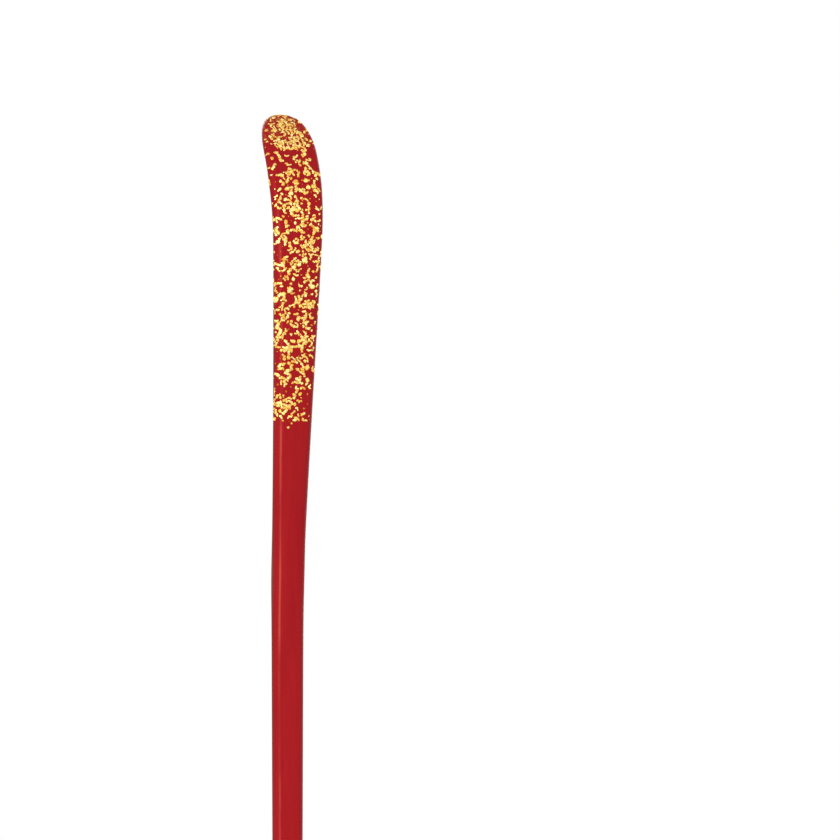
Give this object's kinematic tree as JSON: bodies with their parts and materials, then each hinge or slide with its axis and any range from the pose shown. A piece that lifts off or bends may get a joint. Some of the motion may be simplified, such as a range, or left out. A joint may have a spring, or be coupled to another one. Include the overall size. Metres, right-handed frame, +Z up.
{
  "type": "chashaku tea scoop",
  "caption": "Curved bamboo tea scoop with a node at mid-length, a vermilion lacquered back and scattered gold leaf towards the tip.",
  "frame": {"origin": "middle of the cut end of the handle", "axes": "+Z runs up the handle to the curled tip, -Y is the bare bamboo front with the groove, +Y is the lacquered back, X is across"},
  "size_m": [0.011, 0.0128, 0.1821],
  "materials": {
    "smoked_bamboo": "satin, rubbed bare",
    "ground_lacquer": "dark, rubbed",
    "vermilion_lacquer": "semi-gloss",
    "gold_leaf": "bright, scattered pieces"
  },
  "bodies": {
    "root": {"bamboo_slip": "smoked_bamboo", "lacquer_ground_coat": "ground_lacquer", "vermilion_coat": "vermilion_lacquer", "gold_leaf_tip": "gold_leaf", "gold_leaf_hollow": "gold_leaf", "gold_leaf_neck": "gold_leaf"}
  },
  "joints": []
}
